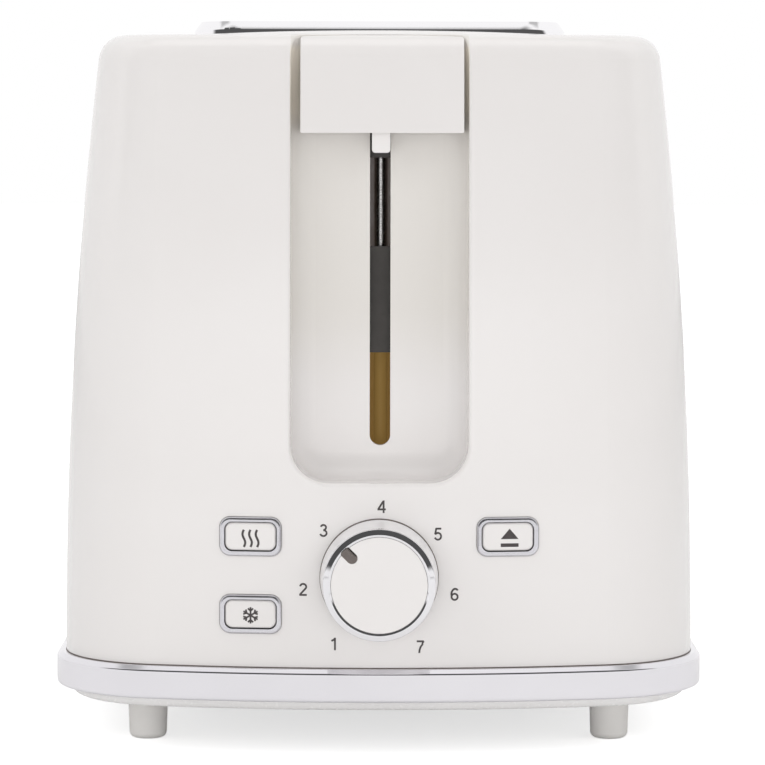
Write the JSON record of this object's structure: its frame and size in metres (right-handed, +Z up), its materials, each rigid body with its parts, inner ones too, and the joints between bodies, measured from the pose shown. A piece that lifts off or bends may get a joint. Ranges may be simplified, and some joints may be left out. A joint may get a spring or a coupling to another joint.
{
  "type": "pop up toaster",
  "caption": "Two slot pop up toaster with a recessed lever, a browning dial, push buttons, sprung bread carriage, heater cards and a slide out crumb tray.",
  "frame": {"origin": "on the floor under the middle of the whole toaster's bounding box", "axes": "+Z up, +Y from the lever end towards the rear along the bread slots, +X to the right of someone facing the lever end"},
  "size_m": [0.1858, 0.3132, 0.2056],
  "materials": {
    "white_shell": "smooth gloss moulding",
    "white_plastic": "smooth semi gloss",
    "chrome": "polished",
    "chrome_satin": "satin",
    "foot_rubber": "matte",
    "zinc_steel": "plain",
    "dark_steel": "blackened",
    "dark_plastic": "matte",
    "copper_coil": "enamelled wire, taped",
    "brown_board": "phenolic circuit board",
    "mica": "mica sheet",
    "ribbon_wire": "oxidised resistance ribbon",
    "ceramic_block": "unglazed"
  },
  "bodies": {
    "housing": {"shell_front": "white_shell", "shell_rear": "white_shell", "shell_left": "white_shell", "shell_right": "white_shell", "shell_top": "white_shell", "top_trim": "chrome", "slot_collar": "zinc_steel", "base_ring": "chrome", "base_pan": "white_plastic", "foot_front_left": "foot_rubber", "foot_front_right": "foot_rubber", "foot_rear_left": "foot_rubber", "foot_rear_right": "foot_rubber", "base_screws": "zinc_steel", "guide_rod": "zinc_steel", "rod_bracket": "zinc_steel", "return_spring": "zinc_steel", "magnet_core": "zinc_steel", "magnet_coil": "copper_coil", "bezel_reheat": "chrome_satin", "bezel_defrost": "chrome_satin", "bezel_stop": "chrome_satin", "button_switches": "dark_plastic", "control_board": "brown_board", "timer_potentiometer": "dark_plastic", "power_board": "brown_board", "board_standoffs": "dark_plastic", "chassis_front_plate": "dark_steel", "chassis_rear_plate": "zinc_steel", "reflector_left": "zinc_steel", "reflector_right": "zinc_steel", "heater_card_left": "mica", "heater_card_centre": "mica", "heater_card_right": "mica", "heater_ribbon_left": "ribbon_wire", "heater_ribbon_centre": "ribbon_wire", "heater_ribbon_right": "ribbon_wire", "bread_guard_left_outer": "zinc_steel", "bread_guard_left_inner": "zinc_steel", "bread_guard_right_inner": "zinc_steel", "bread_guard_right_outer": "zinc_steel", "tray_runner_left": "zinc_steel", "tray_runner_right": "zinc_steel", "cord_gland": "dark_plastic", "terminal_block": "ceramic_block"},
    "carriage": {"carriage_bracket": "dark_steel", "lever_stem": "white_plastic", "lever_handle": "white_plastic", "armature": "zinc_steel", "bread_rack_left": "zinc_steel", "bread_rack_right": "zinc_steel"},
    "dial": {"dial_skirt": "chrome_satin", "dial_shaft": "dark_plastic", "dial_face": "white_plastic", "dial_pointer": "chrome"},
    "reheat_button": {"button_reheat": "white_plastic"},
    "defrost_button": {"button_defrost": "white_plastic"},
    "stop_button": {"button_stop": "white_plastic"},
    "tray": {"crumb_tray": "zinc_steel", "tray_handle": "white_plastic"}
  },
  "joints": [
    {"name": "lever_slide", "type": "slide", "parent": "housing", "child": "carriage", "axis": [0, 0, -1], "range_m": [0, 0.076], "stiffness_N_per_m": 60, "springref_m": -0.06, "deforming": ["return_spring"]},
    {"name": "dial_turn", "type": "hinge", "parent": "housing", "child": "dial", "pos_m": [0, -0.1405, 0.0507], "axis": [0, 1, 0], "range_deg": [-97.7, 195.4]},
    {"name": "reheat_press", "type": "slide", "parent": "housing", "child": "reheat_button", "axis": [0, 1, 0], "range_m": [0, 0.0015], "stiffness_N_per_m": 300, "springref_m": -0.003},
    {"name": "defrost_press", "type": "slide", "parent": "housing", "child": "defrost_button", "axis": [0, 1, 0], "range_m": [0, 0.0015], "stiffness_N_per_m": 300, "springref_m": -0.003},
    {"name": "stop_press", "type": "slide", "parent": "housing", "child": "stop_button", "axis": [0, 1, 0], "range_m": [0, 0.0015], "stiffness_N_per_m": 300, "springref_m": -0.003},
    {"name": "tray_pull", "type": "slide", "parent": "housing", "child": "tray", "axis": [0, 1, 0], "range_m": [0, 0.2]}
  ]
}
